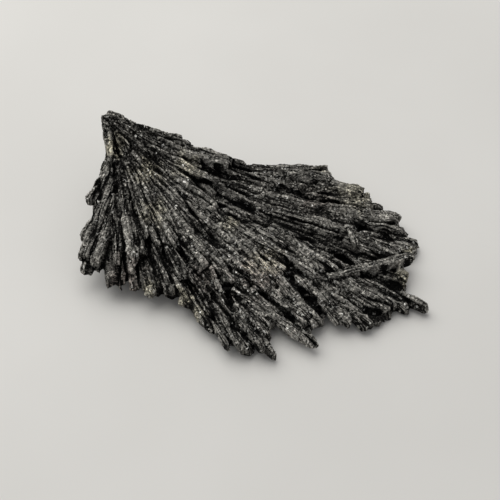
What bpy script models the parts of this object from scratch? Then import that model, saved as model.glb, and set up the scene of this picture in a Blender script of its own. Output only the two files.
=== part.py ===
"""A black kyanite fan: one natural specimen of bladed crystals that radiate from a stalk and are grown together.

The frame is metres with +Z up, and the specimen rests on Z = 0. Every crystal is a lath that leaves the stalk's
head at a bearing (degrees, 0 along +X, negative towards -Y) and ends at a reach (mm, measured level from the head).
The laths follow a roof: a surface that drops from the head like a tent and flattens towards the rim. A lift is a
height over that roof, in mm. The laths overlap, and a union makes them one solid.
"""

import math
import random
from dataclasses import dataclass

import bmesh
import bpy
from mathutils import Vector

MM = 0.001

# Driving dimensions, in millimetres and degrees.
HEAD = Vector((-48.0, 33.9, 0.0))   # the point that the crystals radiate from, on the ground plan
HEAD_HEIGHT = 32.0                  # top of the stalk's head
RIM_HEIGHT = 3.0                    # height that the roof flattens to
ROOF_FALL = 42.0                    # reach over which the roof loses most of its height
BUNDLE_WIDTH = 4.0                  # width of a lath where it joins the stalk
EDGE_DROP = 0.5                     # how far a lath's long edges lie below its ridge
RIDGE_WANDER = 0.45                 # how far off centre a lath's ridge runs, as a share of its half width
ROLL = math.radians(9.0)            # how far a lath leans to one side
TIP_RAGGEDNESS = 1.2                # how unevenly a tip is broken off
LATH_SEGMENTS = 3                   # facets along a lath
CORE_DEPTH = 2.6                    # the grown-together mass starts this far below the roof
CORE_SHARE = 0.84                   # share of the main laths' reach that it fills
UNDERSIDE = (0.7, 2.4)              # how far the mass stays clear of the ground, away from the stalk
STALK_THICKNESS = 11.0              # depth of the mass at the head
STALK_RUN = 34.0                    # reach at which the mass comes down to the ground
SEED = 11


@dataclass(frozen=True)
class Spray:
    """A tier of laths. Each end is the bearing, the reach and the lift of one tip."""

    root_reach: float
    root_lift: float
    depth: tuple
    overlap: float
    ends: tuple


@dataclass(frozen=True)
class Lath:
    """One crystal: the bearing and reach of its root and of its tip, then each size at the root and at the tip."""

    root: tuple
    tip: tuple
    width: tuple
    lift: tuple
    depth: tuple


# The top tier, from the head down over the stalk's shoulders.
CROWN = Spray(-1.8, 0.0, (5.0, 4.5), 1.15, (
    (9, 24, 0.2), (4, 28, 0.0), (-0.5, 41, 0.2), (-5, 28, 0.9), (-10, 24, 0.6), (-14, 34, 0.4),
    (-18, 37, 0.8), (-22, 39, 1.2), (-27, 40, 0.8), (-31, 44, 0.6), (-35, 48, 1.0), (-39, 50, 0.6),
    (-43, 55, 0.4), (-47, 52, 0.8), (-51, 60, 0.3), (-54.5, 62, -0.6), (-58, 49, 0.4), (-62, 46, 0.8),
    (-65.5, 47, 1.2), (-69, 38, -0.4), (-73, 43, 0.4), (-76.5, 49, 1.0), (-80, 49, 0.8), (-84, 45, 0.0),
))
# The straight laths of the back edge, which start under the crown.
RAILS = Spray(26.0, -6.0, (4.0, 4.0), 1.4, (
    (-0.3, 72, 0.0), (-2.8, 74.5, -0.8), (-5.5, 80, 0.0),
))
# The long laths of the back and the right, and of the front.
MAIN = Spray(8.0, -3.0, (4.5, 4.2), 1.2, (
    (-8, 87, 0.0), (-10.5, 91, 0.3), (-13, 99, 0.6), (-15.5, 102, 0.0), (-18, 104, -0.3),
    (-31, 108, 0.2), (-34, 108, -0.4), (-36.5, 106, 0.2), (-39.5, 101, 0.4), (-42, 94, 0.0), (-45, 92, 0.4),
    (-48.5, 87, 0.6), (-51.5, 89, 0.0), (-54, 92, 0.6), (-57, 90, 0.0), (-59.8, 87.5, 0.4), (-62.8, 76, -0.6),
    (-65.5, 68, 0.0), (-68.5, 62, -0.6), (-71.5, 60, -1.6), (-75, 57, -1.4), (-79, 54, -2.0),
    (-83, 51, -2.4), (-87.5, 49, -2.2),
))
# Laths that lie deep near the stalk and rise to the rim, which leaves a valley behind the hump.
VALLEY = Spray(34.0, -7.5, (3.0, 4.0), 1.25, (
    (-20, 90, -2.4), (-22.2, 91, -2.2), (-24.2, 106, 0.0), (-26.4, 108, 0.0), (-28.4, 109, -0.6),
))
# The raised ridge in front of the valley.
HUMP = Spray(30.0, -1.0, (4.0, 4.0), 1.2, (
    (-31.5, 70, 1.6), (-34.5, 86, 1.4), (-38, 78, 1.6), (-41.5, 84, 0.8), (-45, 70, 1.2), (-49, 72, 0.6),
))
# The tier below, which shows at the rim, behind and underneath.
UNDER = Spray(-1.0, -7.0, (5.0, 2.0), 1.3, (
    (20, 20, -7.5), (10, 31, -7.0), (3, 46, -5.4), (-1.5, 64, -3.8), (-6, 80, -3.2), (-12, 90, -2.8),
    (-18, 98, -2.6), (-24, 102, -2.6), (-30, 102, -2.4), (-36, 100, -2.6), (-42, 90, -2.8), (-48, 83, -2.6),
    (-54, 84, -2.8), (-60, 80, -3.0), (-66, 61, -3.4), (-72, 54, -4.4), (-79, 48, -5.0), (-87, 44, -5.0),
    (-94, 42, -4.4),
))
# Upright plates that the specimen rests on, away from the stalk.
FOOT = Spray(24.0, -9.0, (11.0, 11.0), 0.4, (
    (-6, 74, -4.6), (-20, 90, -4.0), (-33, 92, -3.8), (-46, 80, -4.2), (-58, 76, -4.6), (-70, 52, -6.0),
))
# Steep laths that run down from the head to the ground, behind it and on its left.
STEEP_BACK = Spray(3.0, -9.0, (7.0, 5.0), 1.0, (
    (32, 16.5, -19.0), (21, 20, -16.4), (12, 25, -15.6), (3, 30, -13.0), (-5, 37, -11.6), (-12, 44, -8.8),
))
STEEP_LEFT = Spray(3.0, -9.0, (7.0, 5.0), 1.0, (
    (-80, 40, -10.2), (-88, 36, -12.6), (-96, 33, -12.6), (-102, 29, -15.2), (-107, 23, -16.4),
))
SINGLES = (
    # The broken end of the stalk.
    Lath((150, 1.8), (-20, 9), (4.6, 6.0), (1.0, 0.1), (6.5, 5.9)),
    Lath((110, 2.2), (-50, 8), (4.0, 5.0), (0.2, -0.2), (6.0, 5.4)),
    # The splayed laths of the left side.
    Lath((-78, 13), (-98, 25.5), (2.2, 3.4), (-1.0, 0.2), (3.5, 3.1)),
    Lath((-80, 19), (-100, 43), (2.6, 4.4), (-0.5, 0.0), (5.0, 4.5)),
    Lath((-83, 22), (-94, 44.5), (2.2, 3.4), (-0.5, 0.2), (5.0, 4.5)),
    Lath((-88, 28), (-98, 46.5), (3.0, 4.2), (-3.0, -2.4), (4.0, 3.6)),
    # The long spike on the right, and the two at the front.
    Lath((-28, 60), (-29.2, 118.5), (4.6, 4.2), (-1.0, -0.2), (3.6, 3.2)),
    Lath((-50, 68), (-46.4, 99.5), (3.6, 3.6), (0.2, 0.0), (3.6, 3.2)),
    Lath((-46, 66), (-44, 95), (3.0, 4.2), (-1.4, -0.8), (3.6, 3.2)),
    # The blades that cover the outer end of the valley, with a step.
    Lath((-19.6, 82), (-20.8, 105), (4.4, 4.8), (0.6, 0.0), (4.0, 3.6)),
    Lath((-21.8, 84), (-22.8, 104.5), (3.6, 4.0), (0.4, 0.2), (4.0, 3.6)),
    # The lath that lies across the others.
    Lath((-33, 87), (-23.4, 106), (2.6, 3.0), (1.6, 1.4), (2.6, 2.3)),
)
# Knobs of pale matrix caught between the tips: bearing, reach, lift, radius.
LUMPS = ((-25.2, 106.0, 0.6, 2.6), (-74.5, 58.0, -1.2, 2.4), (-66.0, 64.5, -1.0, 2.2))


def roof_height(reach):
    """Height of the surface that the laths follow, in mm."""
    return RIM_HEIGHT + (HEAD_HEIGHT - RIM_HEIGHT) * math.exp(-max(reach, 0.0) / ROOF_FALL)


def blend(pair, along):
    """A size part of the way from its first value to its second."""
    return pair[0] + (pair[1] - pair[0]) * along


def on_plan(bearing, reach):
    """The point on the ground plan at a bearing and a reach from the head, in mm."""
    angle = math.radians(bearing)
    return HEAD + reach * Vector((math.cos(angle), math.sin(angle), 0.0))


def laths_of(spray):
    """The spray's laths, each as wide as the gap between its neighbours."""
    bearings = [end[0] for end in spray.ends]
    last = len(bearings) - 1
    for i, (bearing, reach, lift) in enumerate(spray.ends):
        before, after = bearings[max(i - 1, 0)], bearings[min(i + 1, last)]
        gap = math.radians(before - after) / (2 if 0 < i < last else 1)
        widths = [max(BUNDLE_WIDTH, gap * spray.overlap * r) for r in (spray.root_reach, reach)]
        yield Lath((bearing, spray.root_reach), (bearing, reach), widths, (spray.root_lift, lift), spray.depth)


def subdivided_cube(bm, lengthwise, across):
    """Adds a unit cube that is cut into strips along X and along Y."""
    bmesh.ops.create_cube(bm, size=1.0)
    for axis, parts in ((0, lengthwise), (1, across)):
        along = [e for e in bm.edges if abs(e.verts[0].co[axis] - e.verts[1].co[axis]) > 0.5]
        bmesh.ops.subdivide_edges(bm, edges=along, cuts=parts - 1, use_grid_fill=True)


def lath_object(name, lath, rng):
    """A crystal: a long box with a ridge, a lean and a broken tip, bent to the roof."""
    root, tip = on_plan(*lath.root), on_plan(*lath.tip)
    side = Vector((0, 0, 1)).cross((tip - root).normalized())
    ridge, roll = rng.uniform(-RIDGE_WANDER, RIDGE_WANDER), math.tan(rng.uniform(-ROLL, ROLL))
    bm = bmesh.new()
    subdivided_cube(bm, LATH_SEGMENTS, 2)
    for vert in bm.verts:
        along, across, top = vert.co.x + 0.5, 2 * vert.co.y, vert.co.z > 0
        if vert.co.x > 0.49:
            along += rng.uniform(-1, 1) * TIP_RAGGEDNESS / (tip - root).length
        half = blend(lath.width, along) / 2
        offset = half * (across if across else ridge)
        point = root.lerp(tip, along) + side * offset
        height = roof_height((point - HEAD).length) + blend(lath.lift, along)
        height += offset * roll - EDGE_DROP * abs(across) * top
        point.z = height if top else height - blend(lath.depth, along)
        vert.co = point * MM
    return object_from(name, bm)


def core_object(name, rng):
    """The mass that the laths grow out of: under the roof, and lifted clear of the ground towards the head."""
    rims = [end for end in RAILS.ends + MAIN.ends + VALLEY.ends]
    rims.sort(reverse=True)
    first, last = rims[0][0], rims[-1][0]
    bm = bmesh.new()
    subdivided_cube(bm, 6, 22)
    for vert in bm.verts:
        bearing = last + (first - last) * (vert.co.y + 0.5)
        nearest = min(rims, key=lambda end: abs(end[0] - bearing))
        reach = CORE_SHARE * nearest[1] * (vert.co.x + 0.5)
        top = roof_height(reach) - CORE_DEPTH
        lifted = max(0.0, 1.0 - reach / STALK_RUN)
        bottom = rng.uniform(*UNDERSIDE) + (HEAD_HEIGHT - STALK_THICKNESS) * lifted ** 1.4
        point = on_plan(bearing, reach)
        point.z = top if vert.co.z > 0 else min(bottom, top - 1.0)
        vert.co = point * MM
    bmesh.ops.remove_doubles(bm, verts=bm.verts, dist=0.01 * MM)
    return object_from(name, bm)


def lump_object(name, bearing, reach, lift, radius, rng):
    """A knob of matrix: a coarse sphere with uneven facets."""
    centre = on_plan(bearing, reach)
    centre.z = roof_height(reach) + lift - radius
    bm = bmesh.new()
    bmesh.ops.create_icosphere(bm, subdivisions=1, radius=radius)
    for vert in bm.verts:
        vert.co = (centre + vert.co * rng.uniform(0.8, 1.25)) * MM
    return object_from(name, bm)


def object_from(name, bm):
    """An object made from a bmesh."""
    mesh = bpy.data.meshes.new(name)
    bm.to_mesh(mesh)
    bm.free()
    return bpy.data.objects.new(name, mesh)


def clear_scene():
    """Removes the startup objects."""
    for obj in list(bpy.data.objects):
        bpy.data.objects.remove(obj)


def united(base, others):
    """The mesh of the union of base and the others."""
    group = bpy.data.collections.new("growth")
    bpy.context.scene.collection.children.link(group)
    bpy.context.scene.collection.objects.link(base)
    for obj in others:
        group.objects.link(obj)
    union = base.modifiers.new("grown together", "BOOLEAN")
    union.operation = "UNION"
    union.operand_type = "COLLECTION"
    union.collection = group
    union.solver = "MANIFOLD"
    graph = bpy.context.evaluated_depsgraph_get()
    mesh = bpy.data.meshes.new_from_object(base.evaluated_get(graph))
    for obj in [base, *others]:
        bpy.data.objects.remove(obj)
    bpy.data.collections.remove(group)
    return mesh


def outer_shell(bm):
    """Removes every shell but the largest: the sealed gaps between laths are filled."""
    unseen, shells = set(bm.verts), []
    while unseen:
        shell, edge_of_shell = set(), [unseen.pop()]
        while edge_of_shell:
            vert = edge_of_shell.pop()
            shell.add(vert)
            near = {e.other_vert(vert) for e in vert.link_edges} & unseen
            unseen -= near
            edge_of_shell.extend(near)
        shells.append(shell)
    shells.sort(key=len)
    bmesh.ops.delete(bm, geom=[v for shell in shells[:-1] for v in shell], context="VERTS")


def trim_to_ground(bm):
    """Cuts off what lies below the ground, and closes the cut flat."""
    everything = [*bm.verts, *bm.edges, *bm.faces]
    cut = bmesh.ops.bisect_plane(
        bm, geom=everything, plane_co=(0, 0, 0), plane_no=(0, 0, -1), clear_outer=True
    )
    rim = [e for e in cut["geom_cut"] if isinstance(e, bmesh.types.BMEdge)]
    bmesh.ops.holes_fill(bm, edges=rim)


def black_kyanite():
    """The crystals' finish: dark grey, dull, with a little sheen."""
    material = bpy.data.materials.new("black_kyanite")
    material.use_nodes = True
    shader = material.node_tree.nodes["Principled BSDF"]
    shader.inputs["Base Color"].default_value = (0.045, 0.045, 0.043, 1.0)
    shader.inputs["Roughness"].default_value = 0.55
    shader.inputs["Metallic"].default_value = 0.0
    return material


def main():
    clear_scene()
    rng = random.Random(SEED)
    sprays = (CROWN, RAILS, MAIN, VALLEY, HUMP, UNDER, FOOT, STEEP_BACK, STEEP_LEFT)
    laths = [lath for spray in sprays for lath in laths_of(spray)]
    crystals = [lath_object(f"lath_{i}", lath, rng) for i, lath in enumerate([*laths, *SINGLES])]
    crystals += [lump_object(f"lump_{i}", *lump, rng) for i, lump in enumerate(LUMPS)]
    mesh = united(core_object("core", rng), crystals)
    bm = bmesh.new()
    bm.from_mesh(mesh)
    trim_to_ground(bm)
    outer_shell(bm)
    bmesh.ops.recalc_face_normals(bm, faces=bm.faces)
    bm.to_mesh(mesh)
    bm.free()
    fan = bpy.data.objects.new("kyanite_fan", mesh)
    mesh.materials.clear()
    mesh.materials.append(black_kyanite())
    bpy.context.scene.collection.objects.link(fan)


main()
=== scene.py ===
"""Looks of a black kyanite fan: ribbed, grainy crystals that radiate from a stalk and are grown together.

Lengths are millimetres until a mesh is written, and metres from there on. A place on the fan is a bearing
(degrees, 0 along +X, negative towards -Y) and a reach (mm, measured level from the head). A lift is a height
over the roof, the surface that the crystals follow from the head down to the rim. Each kind of unevenness
reads a layer of the noise of its own.
"""

import logging
import math
import random
from dataclasses import dataclass, field
from enum import Enum
from typing import Iterator

import bmesh
import bpy
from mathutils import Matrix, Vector, noise
from mathutils.bvhtree import BVHTree

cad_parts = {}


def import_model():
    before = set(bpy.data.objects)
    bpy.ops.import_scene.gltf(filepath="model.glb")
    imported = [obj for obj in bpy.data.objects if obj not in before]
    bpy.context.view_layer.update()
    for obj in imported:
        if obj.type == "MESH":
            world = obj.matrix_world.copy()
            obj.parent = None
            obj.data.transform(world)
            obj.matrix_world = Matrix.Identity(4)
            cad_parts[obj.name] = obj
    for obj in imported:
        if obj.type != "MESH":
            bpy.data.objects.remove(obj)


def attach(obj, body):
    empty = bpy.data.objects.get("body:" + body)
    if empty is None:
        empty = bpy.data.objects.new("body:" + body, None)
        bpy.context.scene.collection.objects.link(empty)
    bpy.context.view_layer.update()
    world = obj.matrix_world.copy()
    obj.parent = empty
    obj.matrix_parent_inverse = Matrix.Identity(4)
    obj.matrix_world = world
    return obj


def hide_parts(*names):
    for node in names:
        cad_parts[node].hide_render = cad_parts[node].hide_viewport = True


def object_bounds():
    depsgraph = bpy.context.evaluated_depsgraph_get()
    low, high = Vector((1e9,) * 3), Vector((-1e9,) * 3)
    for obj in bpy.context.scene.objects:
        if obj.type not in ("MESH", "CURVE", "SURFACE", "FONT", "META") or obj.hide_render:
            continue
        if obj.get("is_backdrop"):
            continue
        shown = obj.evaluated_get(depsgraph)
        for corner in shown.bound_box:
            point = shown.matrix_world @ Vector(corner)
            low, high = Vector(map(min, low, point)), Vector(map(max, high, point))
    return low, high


MM = 0.001
UP = Vector((0.0, 0.0, 1.0))
LOG = logging.getLogger("kyanite")
NAME = "kyanite_blades"
PATTERN = (0.0, 900.0)  # where a crystal's pattern may start
NOISE_SPAN = (0.0, 90.0)  # where a crystal's unevenness may start
TIP = 0.999  # share of a crystal's length past which a facet is its broken end
SWELL_LAYER, WAVE_LAYER, LEDGE_LAYER = 3.0, 7.0, 19.0
GAP_LAYERS, OPENING_LAYER, KNOT_LAYER = (3.7, 8.1), 15.0, 31.0

Pair = tuple[float, float]
End = tuple[float, float, float]


class Shade(Enum):
    """How pale a crystal is beside its neighbours, from 0 to 1."""

    DEEP = 0.18
    COMMON = 0.45
    WORN = 0.62
    PALE = 0.9


def blend(pair: Pair, along: float) -> float:
    """Gives a size part of the way from its first value to its second."""
    return pair[0] + (pair[1] - pair[0]) * along


def within(value: float) -> float:
    """Keeps a value between 0 and 1."""
    return max(0.0, min(1.0, value))


def noise_at(*place: float) -> float:
    """Gives the smooth noise at a place, from -1 to 1."""
    return noise.noise(Vector(place))


@dataclass(frozen=True)
class Roof:
    """The surface that the crystals follow.

    Args:
        head: Point on the ground plan that the crystals radiate from.
        head_height: Height at the head.
        rim_height: Height that the surface flattens to.
        fall: Reach over which it loses most of its height.
    """

    head: Vector
    head_height: float = 32.0
    rim_height: float = 3.0
    fall: float = 42.0

    def height(self, reach: float) -> float:
        """Gives the surface's height at a reach."""
        drop = self.head_height - self.rim_height
        return self.rim_height + drop * math.exp(-max(reach, 0.0) / self.fall)

    def plan(self, bearing: float, reach: float) -> Vector:
        """Gives the point on the ground plan at a bearing and a reach."""
        angle = math.radians(bearing)
        return self.head + reach * Vector((math.cos(angle), math.sin(angle), 0.0))

    def over(self, point: Vector) -> float:
        """Gives the surface's height over a point on the ground plan."""
        return self.height(math.hypot(point.x - self.head.x, point.y - self.head.y))


@dataclass(frozen=True)
class Rib:
    """One narrow crystal, with each size given at its root and at its tip.

    Args:
        root: Bearing and reach of the root.
        tip: Bearing and reach of the tip.
        width: Widths.
        lift: Heights over the roof.
        depth: Thicknesses.
        tone: How pale it is, from 0 to 1.
        columns: Facets across.
        pitch: Length of one facet.
    """

    root: Pair
    tip: Pair
    width: Pair
    lift: Pair
    depth: Pair
    tone: float
    columns: int = 4
    pitch: float = 1.3


@dataclass(frozen=True)
class Grain:
    """The way a crystal's grain runs.

    Args:
        start: A point that the grain is measured from.
        along: Level direction that it runs in.
        tone: How pale the crystal is, from 0 to 1.
        shift: Where its pattern starts, so that no two crystals are alike.
        edge: How deep the seams round it are, from 0 to 1.
    """

    start: Vector
    along: Vector
    tone: float
    shift: float
    edge: float = 1.0

    def laid(self, point: Vector) -> Pair:
        """Gives how far along and across the grain a point lies."""
        away = point - self.start
        return away.dot(self.along), away.dot(UP.cross(self.along))


@dataclass(frozen=True)
class CrystalShaper:
    """Makes the rough mesh of a crystal from its rib, and remembers its grain.

    Args:
        roof: The surface it follows.
        edge_drop: How far the long edges lie under the ridge.
        shoulder: How close to the edges a crystal falls away, as a power.
        roll: Most that a crystal leans, as a slope.
        off_middle: Most that its ridge lies off its middle, as a share of half its width.
        sway: How far it sways sideways.
        sway_rate: How fast it sways along it, per mm.
        belly: How far the sway lowers its underside.
        wave: Slow unevenness of the faces.
        wave_rate: How fast that changes, per mm along it and over half its width.
        ledge: Height of the small steps across a crystal.
        ledge_rate: How fast the steps change, per mm along it and over half its width.
        most_ledges: About how many of these steps it rises or falls by.
        raggedness: How unevenly a tip is broken.
        broken: How far a tip's corners fall short or reach over, as shares of the raggedness.
        taper: Length over which a tip narrows.
        narrowed: How much of its width's square a tip loses.
        bowed: How far a tip bows down.
        swell: How far its width varies along it, as a share.
        swell_rate: How fast its width varies, per mm.
        fewest: Fewest facets along it.
        grains: The grain of each crystal made so far.
    """

    roof: Roof
    edge_drop: float = 0.95
    shoulder: int = 3
    roll: float = 0.2
    off_middle: float = 0.45
    sway: float = 0.5
    sway_rate: float = 0.11
    belly: float = 0.3
    wave: float = 0.6
    wave_rate: Pair = (0.3, 1.7)
    ledge: float = 0.34
    ledge_rate: Pair = (0.1, 0.4)
    most_ledges: float = 2.6
    raggedness: float = 2.2
    broken: Pair = (-1.0, 0.2)
    taper: float = 2.6
    narrowed: float = 0.55
    bowed: float = 1.2
    swell: float = 0.4
    swell_rate: float = 0.16
    fewest: int = 3
    grains: list[Grain] = field(default_factory=list)

    def build(self, name: str, rib: Rib, rng: random.Random) -> bpy.types.Object:
        """Makes one closed crystal.

        Args:
            name: Name of the object.
            rib: Its place and sizes.
            rng: Source of its unevenness.

        Returns:
            The crystal.
        """
        root, tip = self.roof.plan(*rib.root), self.roof.plan(*rib.tip)
        length = (tip - root).length
        forward = (tip - root).normalized()
        side = UP.cross(forward)
        lean = rng.uniform(-self.roll, self.roll)
        ridge = rng.uniform(-self.off_middle, self.off_middle)
        drift = Vector([rng.uniform(*NOISE_SPAN) for _ in range(3)])
        bm = bmesh.new()
        strip_box(bm, max(self.fewest, round(length / rib.pitch)), rib.columns)
        for vert in bm.verts:
            along, across = vert.co.x + 0.5, 2.0 * vert.co.y
            run = along * length
            if along > TIP:
                run += rng.uniform(*self.broken) * self.raggedness
            sway = noise.noise(drift + Vector((run * self.sway_rate, 0.0, 0.0)))
            swell = noise.noise(drift + Vector((run * self.swell_rate, across, SWELL_LAYER)))
            near_tip = within(1.0 - (length - run) / self.taper)
            half = 0.5 * blend(rib.width, along) * (1.0 + self.swell * swell)
            half *= math.sqrt(1.0 - self.narrowed * near_tip * near_tip)
            offset = half * (across + ridge * (1.0 - across * across)) + self.sway * sway
            point = root.lerp(tip, run / length) + side * offset
            height = self.roof.over(point) + blend(rib.lift, along) + offset * lean
            if vert.co.z > 0:
                height += self.unevenness(drift, run, across) - self.bowed * near_tip * near_tip
            else:
                height -= blend(rib.depth, along) + self.belly * sway
            point.z = height
            vert.co = point * MM
        return self.grown(name, bm, Grain(root, forward, rib.tone, rng.uniform(*PATTERN)))

    def unevenness(self, drift: Vector, run: float, across: float) -> float:
        """Gives how far a crystal's face lies over its ridge line.

        Args:
            drift: Where its unevenness starts.
            run: How far along the crystal the place is.
            across: How far across, from -1 to 1.

        Returns:
            The height, negative where the face falls away.
        """
        wave_run, wave_across = self.wave_rate
        ledge_run, ledge_across = self.ledge_rate
        wave = noise.noise(drift + Vector((run * wave_run, across * wave_across, WAVE_LAYER)))
        step = noise.noise(drift + Vector((run * ledge_run, ledge_across * across, LEDGE_LAYER)))
        ledges = math.floor(self.most_ledges * step + 0.5)
        return wave * self.wave + (self.ledge * ledges - self.edge_drop * abs(across) ** self.shoulder)

    def grown(self, name: str, bm: bmesh.types.BMesh, grain: Grain) -> bpy.types.Object:
        """Makes an object of a rough mesh, and marks each of its faces with the number of its grain.

        Args:
            name: Name of the object.
            bm: The mesh, which this frees.
            grain: Its grain.

        Returns:
            The object.
        """
        mark = bm.loops.layers.uv.new("grain")
        number = float(len(self.grains))
        self.grains.append(grain)
        for face in bm.faces:
            for loop in face.loops:
                loop[mark].uv = (number, 0.0)
        return object_of(name, bm)


def strip_box(bm: bmesh.types.BMesh, lengthwise: int, across: int) -> None:
    """Adds a unit cube cut into strips along X and along Y.

    Args:
        bm: Mesh that takes it.
        lengthwise: Parts along X.
        across: Parts along Y.
    """
    bmesh.ops.create_cube(bm, size=1.0)
    for axis, parts in ((0, lengthwise), (1, across)):
        if parts > 1:
            edges = [e for e in bm.edges if abs(e.verts[0].co[axis] - e.verts[1].co[axis]) > 0.5]
            bmesh.ops.subdivide_edges(bm, edges=edges, cuts=parts - 1, use_grid_fill=True)


def object_of(name: str, bm: bmesh.types.BMesh) -> bpy.types.Object:
    """Makes an object of a bmesh, and frees the bmesh.

    Args:
        name: Name of the object and of its mesh.
        bm: The bmesh.

    Returns:
        The object.
    """
    mesh = bpy.data.meshes.new(name)
    bm.to_mesh(mesh)
    bm.free()
    return bpy.data.objects.new(name, mesh)


@dataclass(frozen=True)
class CrystalTier:
    """A tier of crystals that radiate from the head. Each lath is a bundle of ribs.

    Args:
        name: Name of the tier.
        ends: Bearing, reach and lift of each lath's tip.
        root_reach: Reach of the roots.
        root_lift: Lift of the roots.
        depth: Thickness at the root and at the tip.
        overlap: Width of a lath as a share of the gap between its neighbours.
        ribs: Fewest and most ribs in a lath.
        shade: How pale the tier is.
        scatter: How far the ribs' lifts vary.
        bundle: Narrowest width of a lath.
        births: Reaches at which successive laths start, over and over, where that is past the tier's roots.
        breadths: How many times wider than the overlap says successive laths are, over and over.
        pitch: Length of a facet.
        widest: Most degrees that a lath takes up.
        shares: Smallest and largest share of a lath's width that a rib takes, before they are evened out.
        shortfalls: Most that a rib falls short of its lath's tip, drawn from these.
        rise: How much of the scatter a rib may rise by.
        rooted: How much of its rise or fall a rib has at its root.
        turned_past: Least reach at which a rib's place across its lath is turned into degrees.
        crowding: How many times wider than its gap a lath may be at its root, where that is past the head.
        tone_spread: Most that a rib is paler or darker than its lath.
        slim: Width under which a rib is a slim one.
        columns: Facets across a slim rib and across a broad one.
    """

    name: str
    ends: tuple[End, ...]
    root_reach: float
    root_lift: float
    depth: Pair
    overlap: float
    ribs: tuple[int, int] = (2, 3)
    shade: Shade = Shade.COMMON
    scatter: float = 0.45
    bundle: float = 1.3
    births: tuple[float, ...] = (0.0,)
    breadths: tuple[float, ...] = (1.0,)
    pitch: float = 1.3
    widest: float = 9.0
    shares: Pair = (0.7, 1.3)
    shortfalls: tuple[float, ...] = (0.0, 0.0, 0.6, 1.8, 3.6)
    rise: float = 0.6
    rooted: float = 0.4
    turned_past: float = 6.0
    crowding: float = 2.0
    tone_spread: float = 0.28
    slim: float = 1.6
    columns: tuple[int, int] = (3, 4)

    def laths(self) -> Iterator[Rib]:
        """Works out the laths.

        Yields:
            Each lath as one broad rib.
        """
        bearings = [end[0] for end in self.ends]
        last = len(bearings) - 1
        for i, (bearing, reach, lift) in enumerate(self.ends):
            turn = (bearings[max(i - 1, 0)] - bearings[min(i + 1, last)]) / (2 if 0 < i < last else 1)
            gap = math.radians(min(turn, self.widest))
            birth = max(self.root_reach, self.births[i % len(self.births)])
            late = max(0.0, birth - self.root_reach) / max(reach - self.root_reach, 1.0)
            crowd = gap * max(birth, 0.0) * self.crowding
            share = self.overlap * self.breadths[i % len(self.breadths)]
            widths = tuple(max(self.bundle, share * width) for width in (crowd, gap * reach))
            lifts = (blend((self.root_lift, lift), late), lift)
            ends = (bearing, birth), (bearing, reach)
            yield Rib(*ends, widths, lifts, self.depth, self.shade.value, pitch=self.pitch)

    def split(self, lath: Rib, rng: random.Random) -> Iterator[Rib]:
        """Splits a lath into ribs that lie side by side.

        Args:
            lath: The lath.
            rng: Source of the ribs' unevenness.

        Yields:
            Each rib.
        """
        count = rng.randint(*self.ribs)
        shares = [rng.uniform(*self.shares) for _ in range(count)]
        total, start = sum(shares), 0.0
        for share in shares:
            middle = (start + share / 2) / total - 0.5
            start += share
            ends = []
            for (bearing, reach), width in zip((lath.root, lath.tip), lath.width):
                turn = math.degrees(middle * width / max(abs(reach), self.turned_past))
                ends.append((bearing + turn, reach))
            widths = tuple(width * share / total for width in lath.width)
            short = rng.choice(self.shortfalls) * rng.random()
            lift = rng.uniform(-self.scatter, self.scatter * self.rise)
            tone = within(lath.tone + rng.uniform(-self.tone_spread, self.tone_spread))
            yield Rib(
                ends[0], (ends[1][0], ends[1][1] - short), widths,
                (lath.lift[0] + self.rooted * lift, lath.lift[1] + lift), lath.depth,
                tone, self.columns[widths[1] >= self.slim], lath.pitch,
            )

    def build(self, shaper: CrystalShaper, rng: random.Random) -> list[bpy.types.Object]:
        """Makes the tier's crystals.

        Args:
            shaper: Makes each mesh.
            rng: Source of unevenness.

        Returns:
            One object for each rib.
        """
        ribs = [rib for lath in self.laths() for rib in self.split(lath, rng)]
        LOG.info("%s: %d crystals", self.name, len(ribs))
        return [shaper.build(f"{self.name}_{i}", rib, rng) for i, rib in enumerate(ribs)]


CROWN = CrystalTier(
    "crown",
    (
        (9, 24, 0.5), (4, 28, 0.3), (-0.8, 42.0, 0.2), (-5, 28, 1.2), (-10, 24, 0.6), (-14, 34, 0.4),
        (-18, 37, 0.8), (-22, 39, 1.4), (-27, 40, 0.6), (-32, 44, 1.3), (-37, 50, 0.6), (-42, 56, 1.2),
        (-46.5, 60, 0.3), (-51, 62, 1.1), (-55.5, 58, 0.0), (-60, 47, 1.3), (-64.5, 46, 0.2),
        (-69, 40, 1.2), (-73.5, 46, 0.4), (-78, 49, 1.4), (-83, 45, 0.3),
    ),
    -1.8, 0.4, (5.0, 3.8), 0.94, (1, 1), Shade.WORN, scatter=0.9, bundle=2.0, births=(0.0, 12.0, 5.0, 16.0),
    breadths=(1.3, 1.0, 1.2, 0.9),
)
RAILS = CrystalTier(
    "rails",
    ((-0.3, 75.0, 1.0), (-2.8, 77.5, 0.5), (-5.5, 81.5, 0.5)),
    26.0, -6.0, (5.5, 5.0), 1.05, (1, 1), Shade.DEEP,
)
BROAD = {
    "root_reach": 8.0, "root_lift": -5.0, "depth": (4.5, 4.2), "overlap": 0.86, "ribs": (1, 2),
    "scatter": 1.1, "widest": 3.5, "births": (8.0, 34.0, 20.0), "breadths": (1.3, 0.9, 1.2, 0.8, 1.35),
}
MAIN = CrystalTier(
    "main",
    (
        (-8, 89.5, 1.0), (-10.5, 93.5, 0.8), (-13, 101, 0.8), (-15.5, 105.5, 0.2), (-18, 107.5, 0.0),
        (-31, 111, 0.2), (-34, 111, -0.4), (-36.5, 109, 0.2), (-39.5, 103.5, 0.4), (-42, 96.5, 0.0),
        (-45, 94, 0.4),
    ),
    **BROAD,
)
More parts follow.
